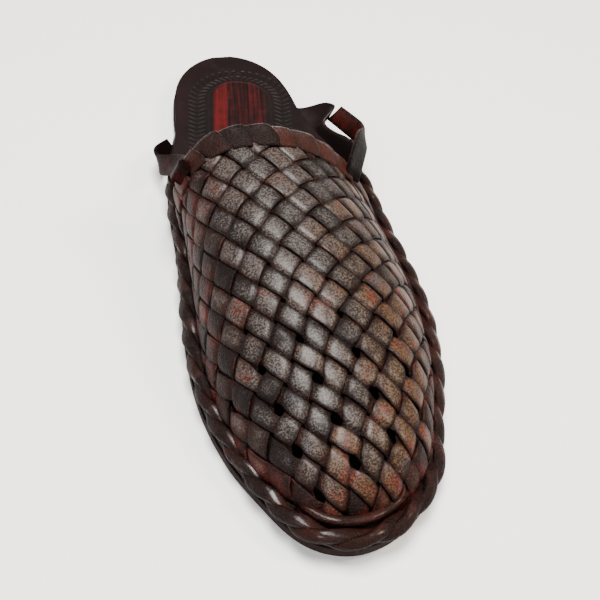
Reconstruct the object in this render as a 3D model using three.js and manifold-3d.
// Woven leather slipper for the right foot: a backless mule whose vamp is plaited from flat
// leather strips on the bias, with a plaited edge on a flat leather sole and a looped side
// strap at each end of the collar, tied to an ear of the insole.
// Millimetres, +Z up. While it is made, the heel's back is at y = 0 and the toe lies towards
// -y; +x is the big-toe side. The finished group is moved so that its box stands on the origin.
import * as THREE from "three";
import { mergeVertices } from "three/addons/utils/BufferGeometryUtils.js";
import Module from "manifold-3d";

const wasm = await Module();
wasm.setup();

// Driving sizes
const LENGTH = 275; // heel back to toe tip of the sole
const BALL_WIDTH = 98; // widest part of the sole
const OUTSOLE = 4.5; // outsole thickness at the forefoot
const HEEL_LIFT = 2; // extra thickness under the heel
const HEEL_BREAST = 62; // from the heel's back to the front of the thicker heel part
const TOE_SPRING = 3; // how far the toe tip lifts off the floor
const EDGE_BEVEL = 0.8; // bevel round the sole's bottom edge
const INSOLE = 3; // insole thickness
const INSOLE_INSET = 0.6; // insole edge inside the outsole edge
const GAP = 0.3; // clearance between pieces that touch

// Vamp
const INSTEP_HEIGHT = 48; // vamp ridge above the insole at the collar
const COLLAR_AT = 120; // from the heel's back to the collar
const COLLAR_BOW = 2; // how far the collar's middle lies behind its sides
const FEATHER_INSET = 7.5; // vamp's foot inside the sole's edge
const TOE_INSET = 9.5; // vamp's foot behind the sole's toe tip
const VAMP_ROUND_FROM = 0.66; // share of LENGTH where the vamp starts to round to the toe
const LEFT_STRIP = 10.6; // width of a strip that runs forward to the little-toe side
const RIGHT_STRIP = 8.8; // width of a strip that runs forward to the big-toe side
const LEFT_HEADING = 45; // degrees between such a strip and the shoe, at the weave's start
const RIGHT_HEADING = 43;
const LEFT_TURN = 3; // degrees that its direction turns at each of the first half strips
const RIGHT_TURN = 0.8;
const STRIP_HIGH = 1.9; // face of an upper strip above the wall's middle surface
const STRIP_LOW = 0.5; // where a strip dives under its neighbour
const WALL_INSIDE = 1.2; // lining side of the wall below its middle surface
const EYE_SIZE = 2.4; // side of an open eye between four strips
const COLLAR_ROLL = 2.6; // radius of the turned-over strips at the collar
const COLLAR_TURN = 8.8; // length of one turn-over along the collar

// Plaited edge
const BRAID_WIDTH = 9.5;
const BRAID_HEIGHT = 7;
const BRAID_FROM = 90; // from the heel's back to the plait's two ends
const BRAID_TURN = 13.5; // length of one turn of the plait
const BRAID_OVERHANG = 0.8; // plait's edge outside the sole's edge

// Ears and side straps
const EAR_THICK = 2;
const STRAP_WIDTH = 9;
const STRAP_THICK = 2;
const STRAP_LAP = 3; // how far a strap lies on the vamp ahead of the collar

// An ear's outline: how far out and up its edge stands, as shares of its length, reach and
// rise. The big-toe side's ear runs on forward as a low upright wall.
const WINGED_EAR = [
  { share: 0, out: 0, up: 0 },
  { share: 0.08, out: 0.45, up: 0.4 },
  { share: 0.17, out: 0.9, up: 0.85 },
  { share: 0.27, out: 1.0, up: 1.0 },
  { share: 0.35, out: 0.7, up: 0.95 },
  { share: 0.43, out: 0.22, up: 0.72 },
  { share: 0.6, out: 0.08, up: 0.78 },
  { share: 0.84, out: 0.06, up: 1.15 },
  { share: 0.95, out: 0.05, up: 1.2 },
  { share: 1, out: 0, up: 0 },
];
const PLAIN_EAR = [
  { share: 0, out: 0, up: 0 },
  { share: 0.16, out: 0.5, up: 0.5 },
  { share: 0.36, out: 0.92, up: 0.92 },
  { share: 0.6, out: 1.0, up: 1.0 },
  { share: 0.84, out: 0.9, up: 0.9 },
  { share: 1, out: 0, up: 0 },
];

// What differs between the two sides. Ears: from the heel's back to the rear root, length,
// reach out of the sole's edge, rise. Straps: where the middle line starts on the vamp above
// the insole, where it bends behind the collar, and where it ends at the ear.
const MEDIAL = {
  side: 1,
  ear: { from: 43, length: 45, reach: 11.5, rise: 11, rows: WINGED_EAR },
  strap: { startUp: 36, bendAt: 85, bendOut: 48.5, bendUp: 14, endAt: 57, endOut: 11, endUp: 5 },
};
const LATERAL = {
  side: -1,
  ear: { from: 54, length: 18, reach: 0.5, rise: 1.5, rows: PLAIN_EAR },
  strap: { startUp: 34, bendAt: 80, bendOut: 41, bendUp: 3, endAt: 62, endOut: 0.5, endUp: -3 },
};

// Sections of the sole's plan: half width and centre line as shares of half the ball width
const PLAN = [
  { along: 0.0, half: 0.6, centre: 0.0 },
  { along: 0.16, half: 0.605, centre: 0.0 },
  { along: 0.22, half: 0.68, centre: 0.02 },
  { along: 0.28, half: 0.81, centre: 0.05 },
  { along: 0.36, half: 0.9, centre: 0.08 },
  { along: 0.46, half: 0.93, centre: 0.095 },
  { along: 0.55, half: 0.97, centre: 0.1 },
  { along: 0.63, half: 1.0, centre: 0.09 },
  { along: 0.74, half: 1.0, centre: 0.055 },
  { along: 0.84, half: 0.965, centre: 0.03 },
  { along: 0.92, half: 0.965, centre: 0.045 },
  { along: 1.0, half: 1.0, centre: -0.02 },
];
const HEEL_ROUND = { to: 0.18, power: 2.6 };
const TOE_ROUND = { from: 0.6, power: 2.4 };

// Ridge of the vamp: its height over the insole and how far it leans to the big-toe side,
// both as shares of INSTEP_HEIGHT
const RIDGE = [
  { along: 0.3, height: 1.06, lean: -0.34 },
  { along: 0.43, height: 1.0, lean: -0.32 },
  { along: 0.55, height: 0.92, lean: -0.22 },
  { along: 0.68, height: 0.77, lean: -0.1 },
  { along: 0.8, height: 0.62, lean: 0 },
  { along: 0.9, height: 0.54, lean: 0 },
  { along: 1.0, height: 0.5, lean: 0 },
];
const VAMP_POWER = { across: 2.3, up: 2.1, toe: 2.5 };

// A smooth curve through one column of a table, read at a share of the length
function column(rows, key) {
  const slope = rows.map((row, i) => {
    const a = rows[Math.max(i - 1, 0)];
    const b = rows[Math.min(i + 1, rows.length - 1)];
    return (b[key] - a[key]) / (b.along - a.along);
  });
  return (t) => {
    if (t <= rows[0].along) return rows[0][key];
    if (t >= rows[rows.length - 1].along) return rows[rows.length - 1][key];
    const i = rows.findIndex((row) => row.along > t) - 1;
    const span = rows[i + 1].along - rows[i].along;
    const u = (t - rows[i].along) / span;
    return (
      rows[i][key] * (1 + 2 * u) * (1 - u) ** 2 +
      slope[i] * span * u * (1 - u) ** 2 +
      rows[i + 1][key] * u * u * (3 - 2 * u) +
      slope[i + 1] * span * u * u * (u - 1)
    );
  };
}

const planHalf = column(PLAN, "half");
const planCentre = column(PLAN, "centre");
const ridgeHeight = column(RIDGE, "height");
const ridgeLean = column(RIDGE, "lean");
const smooth = (t) => {
  const u = Math.min(Math.max(t, 0), 1);
  return u * u * (3 - 2 * u);
};

// Sole plan: half width and centre at a distance s from the heel's back
const fullHalf = (s) => (planHalf(s / LENGTH) * BALL_WIDTH) / 2;
const centreAt = (s) => (planCentre(s / LENGTH) * BALL_WIDTH) / 2;
function soleHalf(s) {
  const heel = Math.max(0, 1 - s / (HEEL_ROUND.to * LENGTH));
  const toeStart = TOE_ROUND.from * LENGTH;
  const toe = Math.max(0, (s - toeStart) / (LENGTH - toeStart));
  const heelRound = Math.sqrt(Math.max(0, 1 - heel ** HEEL_ROUND.power));
  const toeRound = Math.sqrt(Math.max(0, 1 - toe ** TOE_ROUND.power));
  return fullHalf(s) * heelRound * toeRound;
}

// Heights of the sole's layers
const liftAt = (s) => HEEL_LIFT * (1 - smooth((s - 0.22 * LENGTH) / (0.3 * LENGTH)));
const springAt = (s) => TOE_SPRING * Math.max(0, (s - 0.78 * LENGTH) / (0.22 * LENGTH)) ** 2;
const outsoleTop = (s) => OUTSOLE + liftAt(s) + springAt(s);
const outsoleBottom = (s) => springAt(s) + liftAt(s) * smooth((s - HEEL_BREAST) / 1.5);
const insoleBottom = (s) => outsoleTop(s) + GAP;
const insoleTop = (s) => insoleBottom(s) + INSOLE;
const featherAt = (s) => insoleTop(s) + GAP;

// A closed solid from rings of equal length, capped at both ends
function loft(rings) {
  const n = rings[0].length;
  const positions = rings.flat(2);
  const index = [];
  for (let r = 0; r + 1 < rings.length; r++) {
    for (let k = 0; k < n; k++) {
      const a = r * n + k;
      const b = r * n + ((k + 1) % n);
      index.push(a, b, b + n, a, b + n, a + n);
    }
  }
  const last = (rings.length - 1) * n;
  for (let k = 1; k + 1 < n; k++) {
    index.push(0, k + 1, k, last, last + k, last + k + 1);
  }
  return solid(positions, index);
}

// A manifold solid from positions and triangles, turned to face outwards
function solid(positions, index) {
  const raw = new THREE.BufferGeometry();
  raw.setAttribute("position", new THREE.Float32BufferAttribute(positions, 3));
  raw.setIndex(index);
  const merged = mergeVertices(raw, 1e-3);
  const make = (triVerts) =>
    new wasm.Manifold(
      new wasm.Mesh({
        numProp: 3,
        vertProperties: new Float32Array(merged.attributes.position.array),
        triVerts: new Uint32Array(triVerts),
      }),
    );
  const kept = [];
  const source = merged.index.array;
  for (let i = 0; i < source.length; i += 3) {
    const [a, b, c] = source.slice(i, i + 3);
    if (a !== b && b !== c && c !== a) kept.push(a, b, c);
  }
  const made = make(kept);
  if (made.volume() > 0) return made;
  for (let i = 0; i < kept.length; i += 3) {
    [kept[i + 1], kept[i + 2]] = [kept[i + 2], kept[i + 1]];
  }
  return make(kept);
}

// Stations from a to b, closer together near the ends that are rounded
function stations(a, b, count, roundA, roundB) {
  return Array.from({ length: count + 1 }, (_, i) => {
    const t = i / count;
    let u = t;
    if (roundA && roundB) u = (1 - Math.cos(Math.PI * t)) / 2;
    else if (roundB) u = Math.sin((Math.PI / 2) * t);
    else if (roundA) u = 1 - Math.cos((Math.PI / 2) * t);
    return a + (b - a) * u;
  });
}

// Outsole: flat under heel and ball, thicker under the heel, bevelled round its bottom
function makeOutsole() {
  const spots = stations(0.25, LENGTH - 0.25, 46, true, true);
  spots.push(HEEL_BREAST, HEEL_BREAST + 1.5);
  spots.sort((a, b) => a - b);
  const rings = spots.map((s) => {
    const c = centreAt(s);
    const h = soleHalf(s);
    const inner = Math.max(h - EDGE_BEVEL, h * 0.5);
    const low = outsoleBottom(s);
    const high = outsoleTop(s);
    return [
      [c - inner, -s, low],
      [c + inner, -s, low],
      [c + h, -s, low + EDGE_BEVEL],
      [c + h, -s, high],
      [c - h, -s, high],
      [c - h, -s, low + EDGE_BEVEL],
    ];
  });
  return loft(rings);
}

// An ear: a tab of the insole's leather that stands up and out at the waist
function makeEar({ side, ear }) {
  const rings = ear.rows.map(({ share, out, up }) => {
    const s = ear.from + ear.length * share;
    const root = centreAt(s) + side * (soleHalf(s) - INSOLE_INSET - 2);
    const reach = 2.5 + ear.reach * out;
    const rise = ear.rise * up;
    const low = insoleBottom(s) + 0.2;
    const slopeA = unit([-0.2 * rise, 0.5 * reach, 0]);
    const slopeB = unit([-0.8 * rise, 0.5 * reach, 0]);
    const bend = unit(plus(slopeA, slopeB));
    const outline = [
      [0, 0],
      [0.5 * reach, 0.2 * rise],
      [reach, rise],
      [reach + EAR_THICK * slopeB[0], rise + EAR_THICK * slopeB[1]],
      [0.5 * reach + EAR_THICK * bend[0], 0.2 * rise + EAR_THICK * bend[1]],
      [0, INSOLE - 0.4],
    ];
    return outline.map(([across, above]) => [root + side * across, -s, low + above]);
  });
  return loft(rings);
}

// Insole: a leather sheet with its two ears
function makeInsole() {
  const rings = stations(1, LENGTH - 1, 41, true, true).map((s) => {
    const c = centreAt(s);
    const h = Math.max(soleHalf(s) - INSOLE_INSET, 0.5);
    return [
      [c - h, -s, insoleBottom(s)],
      [c + h, -s, insoleBottom(s)],
      [c + h, -s, insoleTop(s) - 0.5],
      [c + h - Math.min(0.6, h / 2), -s, insoleTop(s)],
      [c - h + Math.min(0.6, h / 2), -s, insoleTop(s)],
      [c - h, -s, insoleTop(s) - 0.5],
    ];
  });
  return loft(rings).add(makeEar(MEDIAL)).add(makeEar(LATERAL));
}

// Vamp form: a superellipse over each section, rounded off at the toe.
// skin() is zero on the wall's middle surface and negative inside it.
const vampEnd = LENGTH - TOE_INSET;
const vampRound = VAMP_ROUND_FROM * LENGTH;
const vampHalf = (s) => fullHalf(s) - FEATHER_INSET;
const vampHeight = (s) => ridgeHeight(s / LENGTH) * INSTEP_HEIGHT;
const vampLean = (s) => ridgeLean(s / LENGTH) * INSTEP_HEIGHT;
function skin([x, y, z]) {
  const s = -y;
  const up = Math.max(0, (z - featherAt(s)) / vampHeight(s));
  const across = Math.abs((x - centreAt(s) - vampLean(s) * up) / vampHalf(s));
  const toe = Math.max(0, (s - vampRound) / (vampEnd - vampRound));
  return across ** VAMP_POWER.across + up ** VAMP_POWER.up + toe ** VAMP_POWER.toe - 1;
}

// Small vector helpers on [x, y, z]
const plus = (a, b, t = 1) => [a[0] + b[0] * t, a[1] + b[1] * t, a[2] + b[2] * t];
const minus = (a, b) => plus(a, b, -1);
const dot = (a, b) => a[0] * b[0] + a[1] * b[1] + a[2] * b[2];
const cross = (a, b) => [
  a[1] * b[2] - a[2] * b[1],
  a[2] * b[0] - a[0] * b[2],
  a[0] * b[1] - a[1] * b[0],
];
const unit = (a) => plus([0, 0, 0], a, 1 / Math.hypot(...a));
const mix = (a, b, t) => plus(plus([0, 0, 0], a, 1 - t), b, t);

function slopeOfSkin(p) {
  const e = 0.02;
  return [0, 1, 2].map((k) => {
    const step = [0, 0, 0];
    step[k] = e;
    return (skin(plus(p, step)) - skin(minus(p, step))) / (2 * e);
  });
}

function toSkin(p) {
  let q = p;
  for (let i = 0; i < 8; i++) {
    const g = slopeOfSkin(q);
    q = plus(q, g, -skin(q) / Math.max(dot(g, g), 1e-9));
  }
  return q;
}

// The bias weave as a net of equal strips laid on the form. Both first strips walk straight
// over the skin from the middle of the vamp; every other crossing lies one strip from two
// neighbours, as plaited strips do.
const LEFT_STEP = LEFT_STRIP / 2;
const RIGHT_STEP = RIGHT_STRIP / 2;
const TURN_STEPS = 6; // half strips over which the first strips turn
const NET_REACH = 34; // half strips from the first crossing
const NET_MARGIN = 26; // how far the net runs past the vamp's edges
const weaveStart = toSkin([centreAt(0.64 * LENGTH) + 1, -0.64 * LENGTH, 60]);
const inReach = (p) =>
  p[2] > featherAt(-p[1]) - NET_MARGIN && -p[1] > COLLAR_AT - 2 * NET_MARGIN;

function walk(start, heading, step, turn) {
  const line = [start];
  let direction = heading;
  for (let i = 0; i < NET_REACH; i++) {
    const from = line[i];
    const next = toSkin(plus(from, direction, step));
    const moved = unit(minus(next, from));
    const place = toSkin(plus(from, moved, step));
    const normal = unit(slopeOfSkin(place));
    direction = unit(plus(moved, normal, -dot(moved, normal)));
    if (i < TURN_STEPS) {
      const angle = (turn * Math.PI) / 180;
      const sideways = cross(normal, direction);
      direction = plus(plus([0, 0, 0], direction, Math.cos(angle)), sideways, Math.sin(angle));
    }
    line.push(inReach(place) ? place : null);
    if (!inReach(place)) break;
  }
  return line;
}

// The point one step from a and from b on the skin, across from c
function crossing(a, b, c) {
  if (!a || !b || !c) return null;
  let p = toSkin(minus(plus(a, b), c));
  for (let i = 0; i < 12; i++) {
    const rows = [plus([0, 0, 0], minus(p, a), 2), plus([0, 0, 0], minus(p, b), 2), slopeOfSkin(p)];
    const miss = [
      dot(minus(p, a), minus(p, a)) - RIGHT_STEP ** 2,
      dot(minus(p, b), minus(p, b)) - LEFT_STEP ** 2,
      skin(p),
    ];
    const det = dot(rows[0], cross(rows[1], rows[2]));
    if (Math.abs(det) < 1e-9) return null;
    let change = [0, 0, 0];
    change = plus(change, cross(rows[1], rows[2]), miss[0] / det);
    change = plus(change, cross(rows[2], rows[0]), miss[1] / det);
    change = plus(change, cross(rows[0], rows[1]), miss[2] / det);
    const size = Math.hypot(...change);
    p = plus(p, change, -Math.min(1, RIGHT_STEP / Math.max(size, 1e-9)));
    if (size < 1e-7) break;
  }
  const apart = Math.hypot(...minus(p, c));
  return apart > 0.35 * RIGHT_STEP && Math.abs(skin(p)) < 1e-3 && inReach(p) ? p : null;
}

function makeNet() {
  const net = new Map();
  const key = (i, j) => `${i},${j}`;
  const normal = unit(slopeOfSkin(weaveStart));
  const ahead = unit(plus([0, -1, 0], normal, normal[1]));
  const aside = cross(ahead, normal);
  const heading = (degrees, toward) => {
    const angle = (degrees * Math.PI) / 180;
    return plus(plus([0, 0, 0], ahead, Math.cos(angle)), aside, toward * Math.sin(angle));
  };
  const left = heading(LEFT_HEADING, 1);
  const right = heading(RIGHT_HEADING, -1);
  for (const sign of [1, -1]) {
    const lineA = walk(weaveStart, plus([0, 0, 0], left, sign), RIGHT_STEP, sign * LEFT_TURN);
    const lineB = walk(weaveStart, plus([0, 0, 0], right, sign), LEFT_STEP, sign * RIGHT_TURN);
    lineA.forEach((p, i) => p && net.set(key(sign * i, 0), p));
    lineB.forEach((p, i) => p && net.set(key(0, sign * i), p));
  }
  for (const si of [1, -1]) {
    for (const sj of [1, -1]) {
      for (let i = 1; i <= NET_REACH; i++) {
        for (let j = 1; j <= NET_REACH; j++) {
          const p = crossing(
            net.get(key(si * (i - 1), sj * j)),
            net.get(key(si * i, sj * (j - 1))),
            net.get(key(si * (i - 1), sj * (j - 1))),
          );
          if (p) net.set(key(si * i, sj * j), p);
        }
      }
    }
  }
  return (i, j) => net.get(key(i, j));
}
const net = makeNet();

// A point of the net at whole and part strips, on the skin
function onNet(u, v) {
  const i = Math.floor(2 * u);
  const j = Math.floor(2 * v);
  const corners = [net(i, j), net(i + 1, j), net(i, j + 1), net(i + 1, j + 1)];
  if (corners.some((p) => !p)) return null;
  const fu = 2 * u - i;
  const fv = 2 * v - j;
  return toSkin(mix(mix(corners[0], corners[1], fu), mix(corners[2], corners[3], fu), fv));
}

// Height of the woven face over the skin: the strip on top is full height at its middle and
// at its long edges, and dives where it meets the next strip's edge
const SEAM = 0.1; // share of a strip taken by the step down to its neighbour
function weaveHeight(i, j, a, b) {
  const alongFirst = (i + j) % 2 === 0;
  const dives = alongFirst ? a !== 1 : b !== 1;
  return dives ? STRIP_LOW : STRIP_HIGH;
}

// The woven face, closed by a fan to a point under the vamp
function makeWovenBody() {
  const spots = [SEAM, 0.5, 1 - SEAM];
  const cells = NET_REACH / 2;
  const size = cells * 6;
  const vertices = new Map();
  for (let gi = 0; gi < size; gi++) {
    for (let gj = 0; gj < size; gj++) {
      const i = Math.floor(gi / 3) - cells;
      const j = Math.floor(gj / 3) - cells;
      const p = onNet(i + spots[gi % 3], j + spots[gj % 3]);
      if (!p || p[2] < featherAt(-p[1]) - 6 || -p[1] < COLLAR_AT - COLLAR_BOW - 8) continue;
      const rise = weaveHeight(i + 2 * cells, j + 2 * cells, gi % 3, gj % 3);
      vertices.set(gi * size + gj, plus(p, unit(slopeOfSkin(p)), rise));
    }
  }
  const quads = new Set();
  const has = (k) => vertices.has(k);
  for (const k of vertices.keys()) {
    if (k % size < size - 1 && has(k + 1) && has(k + size) && has(k + size + 1)) quads.add(k);
  }
  // A quad that meets the rest only at a corner would pinch the surface
  for (let pass = 0; pass < 4; pass++) {
    for (const k of [...quads]) {
      const sides = [k - 1, k + 1, k - size, k + size].filter((n) => quads.has(n)).length;
      if (sides < 2) quads.delete(k);
    }
  }
  const positions = [];
  const ids = new Map();
  const id = (k) => {
    if (!ids.has(k)) {
      ids.set(k, positions.length / 3);
      positions.push(...vertices.get(k));
    }
    return ids.get(k);
  };
  const index = [];
  const edges = new Map();
  const face = (a, b, c) => {
    index.push(a, b, c);
    for (const [m, n] of [[a, b], [b, c], [c, a]]) {
      const back = `${n},${m}`;
      if (edges.has(back)) edges.delete(back);
      else edges.set(`${m},${n}`, [m, n]);
    }
  };
  for (const k of quads) {
    const [a, b, c, d] = [id(k), id(k + size), id(k + size + 1), id(k + 1)];
    face(a, b, c);
    face(a, c, d);
  }
  const under = 0.62 * LENGTH;
  const apex = positions.length / 3;
  positions.push(centreAt(under), -under, -15);
  for (const [m, n] of [...edges.values()]) index.push(n, m, apex);
  return solid(positions, index);
}

// The vamp's smooth form as a solid, grown outwards by a distance or, below zero, inwards
function makeForm(grow, from, below) {
  const arc = 18;
  const spots = stations(from, vampEnd + grow - 0.05, 20, false, true);
  const rings = spots.map((s) => {
    const toe = Math.max(0, (s - vampRound) / (vampEnd + grow - vampRound));
    const left = Math.max(1e-4, 1 - toe ** VAMP_POWER.toe);
    const half = (vampHalf(s) + grow) * left ** (1 / VAMP_POWER.across);
    const height = (vampHeight(s) + grow) * left ** (1 / VAMP_POWER.up);
    const ring = [];
    for (let k = 0; k <= arc; k++) {
      const t = (Math.PI * k) / arc;
      const x = Math.sign(Math.cos(t)) * Math.abs(Math.cos(t)) ** (2 / VAMP_POWER.across);
      const z = Math.abs(Math.sin(t)) ** (2 / VAMP_POWER.up);
      const lean = (vampLean(s) * height * z) / vampHeight(s);
      ring.push([centreAt(s) + lean + half * x, -s, featherAt(s) + height * z]);
    }
    ring.push([centreAt(s) - half, -s, featherAt(s) - below]);
    ring.push([centreAt(s) + half, -s, featherAt(s) - below]);
    return ring;
  });
  return loft(rings);
}

// Everything ahead of the collar and above the feather line
function makeTrim() {
  const wide = BALL_WIDTH;
  const tall = 3 * INSTEP_HEIGHT;
  const bow = (x) => COLLAR_AT - COLLAR_BOW * (1 - (x / (0.4 * BALL_WIDTH)) ** 2);
  const columns = 14;
  const ring = (z) => {
    const points = [];
    for (let k = 0; k <= columns; k++) {
      const x = -wide + (2 * wide * k) / columns;
      points.push([x, -Math.max(bow(Math.min(Math.max(x, -45), 45)), 60), z]);
    }
    points.push([wide, -2 * LENGTH, z], [-wide, -2 * LENGTH, z]);
    return points;
  };
  const ahead = loft([ring(-40), ring(tall)]);
  const above = loft(
    stations(40, LENGTH + 20, 40).map((s) => [
      [-wide, -s, featherAt(s)],
      [wide, -s, featherAt(s)],
      [wide, -s, tall],
      [-wide, -s, tall],
    ]),
  );
  return ahead.intersect(above);
}

// How far a place lies above the vamp's foot
const vampLift = (p) => p[2] - featherAt(-p[1]);

// The strips turned over at the collar: a lumpy roll along the vamp's rear edge
function makeCollarRoll() {
  const turns = 42;
  const around = 7;
  const raw = [];
  for (let k = 0; k <= turns; k++) {
    const t = (Math.PI * k) / turns;
    const s = COLLAR_AT - COLLAR_BOW * (1 - Math.cos(t) ** 2) + 1.2;
    const x = centreAt(s) + vampLean(s) * Math.sin(t) + vampHalf(s) * 1.02 * Math.cos(t);
    const z = featherAt(s) + 0.3 + vampHeight(s) * Math.sin(t);
    raw.push(toSkin([x, -s, z]));
  }
  let along = 0;
  const rings = raw.map((p, k) => {
    if (k) along += Math.hypot(...minus(p, raw[k - 1]));
    const out = unit(slopeOfSkin(p));
    const ahead = unit(minus(raw[Math.min(k + 1, turns)], raw[Math.max(k - 1, 0)]));
    const side = unit(cross(ahead, out));
    const ring = [];
    for (let m = 0; m < around; m++) {
      const a = (2 * Math.PI * m) / around;
      const lump = 1 + 0.2 * Math.cos((2 * Math.PI * along) / COLLAR_TURN + a);
      const r = COLLAR_ROLL * lump * (0.4 + 0.6 * smooth((vampLift(p) - 4) / 10));
      const place = plus(p, out, 0.3 * r + r * 0.9 * Math.sin(a));
      ring.push(plus(place, side, r * 1.25 * Math.cos(a)));
    }
    return ring;
  });
  return loft(rings);
}

// Eyes of the weave that stand open, from the toe back to the vamp's middle
function openEyes() {
  const eyes = [];
  const reach = NET_REACH / 2;
  for (let i = -reach; i < reach; i++) {
    for (let j = -reach; j < reach; j++) {
      const p = net(2 * i, 2 * j);
      if (!p) continue;
      const s = -p[1];
      const high = p[2] - featherAt(s) > 8;
      const forward = s > 0.6 * LENGTH && s < vampEnd - 6;
      if (high && forward && (i + 2 * j) % 3 === 0) eyes.push([i, j]);
    }
  }
  return eyes.map(([i, j]) => {
    const p = net(2 * i, 2 * j);
    const out = unit(slopeOfSkin(p));
    const u = EYE_SIZE / RIGHT_STRIP / 2;
    const v = EYE_SIZE / LEFT_STRIP / 2;
    const corners = [[-u, -v], [u, -v], [u, v], [-u, v]].map(([a, b]) => onNet(i + a, j + b));
    if (corners.some((q) => !q)) return null;
    return loft([corners.map((q) => plus(q, out, -5)), corners.map((q) => plus(q, out, 5))]);
  });
}

function makeUpper() {
  let body = makeWovenBody().intersect(makeTrim());
  body = body.add(makeCollarRoll().intersect(makeTrimRear()));
  body = body.subtract(makeForm(-WALL_INSIDE, COLLAR_AT - 40, 10));
  for (const eye of openEyes()) {
    if (eye) body = body.subtract(eye);
  }
  return largest(body);
}

// Keeps the collar roll above the feather line
function makeTrimRear() {
  const wide = BALL_WIDTH;
  const tall = 3 * INSTEP_HEIGHT;
  return loft(
    stations(COLLAR_AT - 30, COLLAR_AT + 30, 8).map((s) => [
      [-wide, -s, featherAt(s)],
      [wide, -s, featherAt(s)],
      [wide, -s, tall],
      [-wide, -s, tall],
    ]),
  );
}

const largest = (body) =>
  body.decompose().reduce((best, one) => (one.volume() > best.volume() ? one : best));

// The plaited edge: one lumpy bead along the sole's margin, from one side strap round the
// toe to the other
function makeBraid() {
  const mid = BRAID_WIDTH / 2 - BRAID_OVERHANG;
  const spots = stations(BRAID_FROM, LENGTH, 60, false, true);
  const edge = [
    ...spots.map((s) => [centreAt(s) - soleHalf(s), -s]),
    ...spots.reverse().slice(1).map((s) => [centreAt(s) + soleHalf(s), -s]),
  ];
  const path = edge
    .map((p, k) => {
      const before = edge[Math.max(k - 1, 0)];
      const after = edge[Math.min(k + 1, edge.length - 1)];
      const run = Math.hypot(after[0] - before[0], after[1] - before[1]);
      return [p[0] - ((after[1] - before[1]) / run) * mid, p[1] + ((after[0] - before[0]) / run) * mid];
    })
    .filter((p, k, all) => k === 0 || Math.hypot(p[0] - all[k - 1][0], p[1] - all[k - 1][1]) > 0.5);
  const curve = new THREE.CatmullRomCurve3(
    path.map(([x, y]) => new THREE.Vector3(x, y, 0)),
    false,
    "centripetal",
  );
  const steps = Math.round((curve.getLength() / BRAID_TURN) * 4);
  const points = curve.getSpacedPoints(steps);
  const pitch = curve.getLength() / steps;
  const rings = points.map((p, k) => {
    const ahead = curve.getTangentAt(k / steps);
    const out = [ahead.y, -ahead.x];
    const outward = out[0] * (p.x - centreAt(-p.y)) + out[1] * (p.y + 0.6 * LENGTH) > 0 ? 1 : -1;
    const phase = (2 * Math.PI * k * pitch) / BRAID_TURN;
    const w = BRAID_WIDTH / 2;
    const outerLump = 0.5 + 0.5 * Math.cos(phase);
    const innerLump = 0.5 - 0.5 * Math.cos(phase);
    const section = [
      [-w * 0.9, 0],
      [w * (0.78 + 0.1 * outerLump), 0],
      [w * (0.86 + 0.14 * outerLump), 0.25 + 0.1 * outerLump],
      [w * 0.6, 0.56 + 0.16 * outerLump],
      [w * 0.12, 0.6 + 0.08 * outerLump],
      [-w * 0.3, 0.8 + 0.2 * innerLump],
      [-w * 0.8, 0.78 + 0.14 * innerLump],
      [-w, 0.4],
    ];
    return section.map(([across, up]) => {
      const y = p.y + out[1] * outward * across;
      return [p.x + out[0] * outward * across, y, insoleTop(-y) + GAP + 0.05 + BRAID_HEIGHT * up];
    });
  });
  const bead = loft(rings);
  return largest(bead.subtract(makeForm(STRIP_HIGH + 2 * GAP, COLLAR_AT - 40, 20)));
}

// A flat strap through places of its middle line, each with the way its width points
function makeStrap(places) {
  const through = (points) =>
    new THREE.CatmullRomCurve3(points.map((p) => new THREE.Vector3(...p)), false, "centripetal");
  const line = through(places.map(({ at }) => at));
  const ways = through(places.map(({ width }) => width));
  const steps = 18;
  const rings = [];
  for (let k = 0; k <= steps; k++) {
    const t = k / steps;
    const p = line.getPoint(t).toArray();
    const ahead = line.getTangent(t).toArray();
    const wide = unit(ways.getPoint(t).toArray());
    const across = unit(plus(wide, ahead, -dot(wide, ahead)));
    const thick = unit(cross(ahead, across));
    const corner = (a, b) => plus(plus(p, across, (a * STRAP_WIDTH) / 2), thick, (b * STRAP_THICK) / 2);
    rings.push([corner(-1, -1), corner(1, -1), corner(1, 1), corner(-1, 1)]);
  }
  return loft(rings);
}

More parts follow.
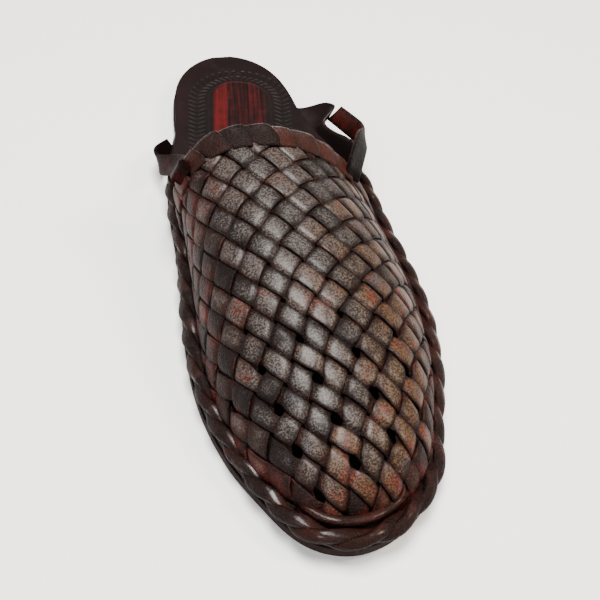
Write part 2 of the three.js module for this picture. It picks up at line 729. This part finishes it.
// The collar's last strip leaves the vamp's side, bends at a corner and comes back to the ear
function makeSideStrap({ side, strap }) {
  const onVamp = (s, clear) => {
    const start = [centreAt(s) + side * vampHalf(s), -s, insoleTop(s) + strap.startUp];
    const p = toSkin(start);
    const out = unit(slopeOfSkin(p));
    const down = unit([side * out[2], 0, -side * out[0]]);
    return { at: plus(p, out, clear + GAP + STRAP_THICK / 2), width: down };
  };
  const past = (s, x, up) => [x, -s, insoleTop(s) + up];
  const { bendAt, bendOut, bendUp, endAt } = strap;
  const endX = centreAt(endAt) + side * (soleHalf(endAt) + strap.endOut + STRAP_THICK / 2 + GAP);
  const half = (COLLAR_AT + bendAt) / 2 - 2;
  const places = [
    onVamp(COLLAR_AT + STRAP_LAP, STRIP_HIGH + 0.5),
    onVamp(COLLAR_AT + 1, 4.6),
    { at: past(half, side * (bendOut - 6), (strap.startUp + bendUp) / 2), width: [side * 0.5, 0, -0.85] },
    { at: past(bendAt, side * bendOut, bendUp), width: [side * 0.1, 0, -1] },
    { at: past(bendAt - 9, side * (bendOut - 1), bendUp - 2.5), width: [0, 0, -1] },
    { at: past(endAt, endX, strap.endUp), width: [0, 0, -1] },
  ];
  return makeStrap(places);
}

const LEATHER = {
  woven: { color: 0x3a1d17, roughness: 0.42, metalness: 0 },
  edge: { color: 0x2c1613, roughness: 0.45, metalness: 0 },
  insole: { color: 0x4a1714, roughness: 0.4, metalness: 0 },
  sole: { color: 0x571a14, roughness: 0.6, metalness: 0 },
};

const slipper = new THREE.Group();
function piece(name, body, leather) {
  const made = body.getMesh();
  const positions = [];
  for (let i = 0; i < made.numVert; i++) {
    positions.push(...made.vertProperties.slice(i * made.numProp, i * made.numProp + 3));
  }
  const geometry = new THREE.BufferGeometry();
  geometry.setAttribute("position", new THREE.Float32BufferAttribute(positions, 3));
  geometry.setIndex([...made.triVerts]);
  geometry.computeVertexNormals();
  const mesh = new THREE.Mesh(geometry, new THREE.MeshStandardMaterial(leather));
  mesh.name = name;
  slipper.add(mesh);
}

piece("outsole", makeOutsole(), LEATHER.sole);
piece("insole", makeInsole(), LEATHER.insole);
piece("upper", makeUpper(), LEATHER.woven);
piece("edge_braid", makeBraid(), LEATHER.edge);
piece("strap_medial", makeSideStrap(MEDIAL), LEATHER.woven);
piece("strap_lateral", makeSideStrap(LATERAL), LEATHER.woven);

const box = new THREE.Box3().setFromObject(slipper);
const middle = box.getCenter(new THREE.Vector3());
slipper.position.set(-middle.x, -middle.y, -box.min.z);

export default slipper;
